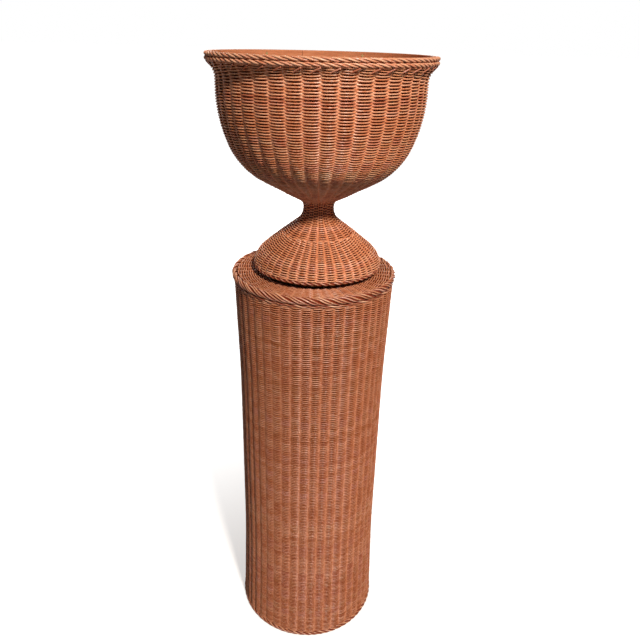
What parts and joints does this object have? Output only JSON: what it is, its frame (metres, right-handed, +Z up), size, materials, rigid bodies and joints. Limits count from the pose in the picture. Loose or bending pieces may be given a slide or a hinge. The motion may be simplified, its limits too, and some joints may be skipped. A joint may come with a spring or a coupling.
{
  "type": "wicker pedestal planter",
  "caption": "Tall round wicker pedestal with a woven urn standing loose in its top: domed foot, narrow neck and a deep flared bowl that is open for a pot.",
  "frame": {"origin": "on the floor, on the pedestal's own axis, in the middle of its round base", "axes": "+Z up along the pedestal's axis; -Y towards the viewer of the picture; +X to that viewer's right. The urn's axis stands 6 mm to the +X side of the pedestal's, as in the picture"},
  "size_m": [0.4029, 0.403, 1.25],
  "materials": {
    "wall_weave": "woven rattan, satin",
    "urn_weave": "woven rattan, satin",
    "shoulder_weave": "woven rattan, satin",
    "border_cane": "plaited and twisted rattan, satin",
    "stake_cane": "round rattan stakes",
    "hoop_strip": "split pole rattan, smooth",
    "pole_cane": "peeled pole rattan",
    "board_plywood": "plywood, bare",
    "post_wood": "turned softwood, bare",
    "steel": "zinc plated",
    "brass": "polished"
  },
  "bodies": {
    "pedestal": {"base_hoop": "pole_cane", "middle_hoop": "pole_cane", "top_hoop": "pole_cane", "frame_post_front": "pole_cane", "frame_post_right": "pole_cane", "frame_post_back": "pole_cane", "frame_post_left": "pole_cane", "hoop_nails": "steel", "pedestal_stakes": "stake_cane", "pedestal_weave": "wall_weave", "base_border": "border_cane", "top_wale": "border_cane", "top_border": "border_cane", "top_board": "board_plywood", "board_screws": "steel", "shoulder_stakes": "stake_cane", "shoulder_weave": "shoulder_weave", "well_edge_cord": "border_cane"},
    "urn": {"foot_plug": "board_plywood", "foot_board": "board_plywood", "foot_screws": "steel", "foot_hoop": "pole_cane", "foot_tacks": "steel", "foot_edge_cord": "border_cane", "foot_weave": "urn_weave", "foot_collar": "urn_weave", "neck_post": "post_wood", "neck_binding": "urn_weave", "urn_stakes": "stake_cane", "bowl_floor": "board_plywood", "floor_screws": "steel", "bowl_weave": "urn_weave", "rim_lower_cord": "border_cane", "rim_upper_cord": "border_cane", "rim_hoop": "hoop_strip", "rim_pins": "brass"}
  },
  "joints": [
    {"name": "urn_lift", "type": "slide", "parent": "pedestal", "child": "urn", "axis": [0, 0, 1], "range_m": [0, 0.15]}
  ]
}
